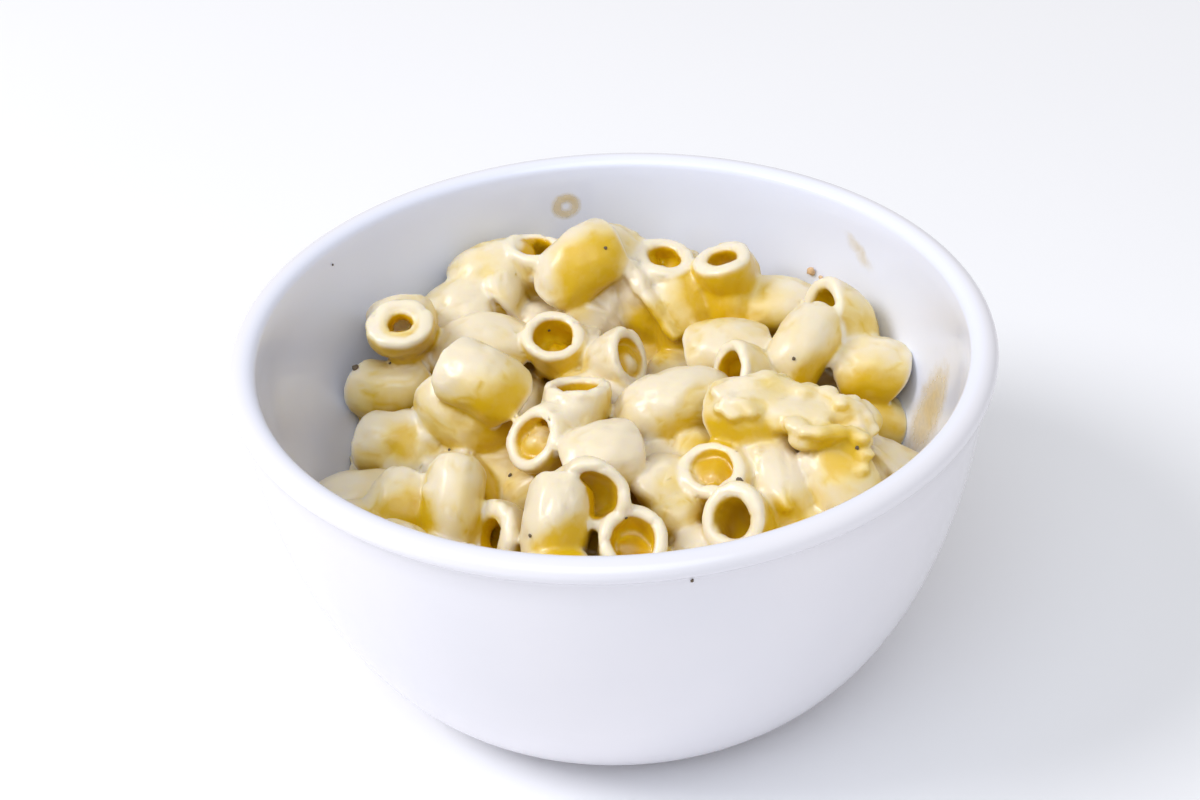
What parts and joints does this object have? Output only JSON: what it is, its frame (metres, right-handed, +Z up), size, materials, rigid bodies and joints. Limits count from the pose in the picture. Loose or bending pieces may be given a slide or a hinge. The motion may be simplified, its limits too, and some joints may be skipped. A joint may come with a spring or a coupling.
{
  "type": "bowl of macaroni and cheese",
  "caption": "Deep round white bowl with a rolled lip, filled with elbow macaroni in cheese sauce; it stands on its foot ring.",
  "frame": {"origin": "centre of the foot ring, on the surface the bowl stands on", "axes": "+Z up through the middle of the bowl, -Y towards the front, where the pasta lies lowest, +X to the right"},
  "size_m": [0.1148, 0.1148, 0.056],
  "materials": {
    "glazed_ceramic": "white glaze, glossy",
    "cheesy_macaroni": "cooked pasta under thin, creamy cheese sauce, wet gloss"
  },
  "bodies": {
    "root": {"bowl": "glazed_ceramic", "macaroni_heap": "cheesy_macaroni"}
  },
  "joints": []
}
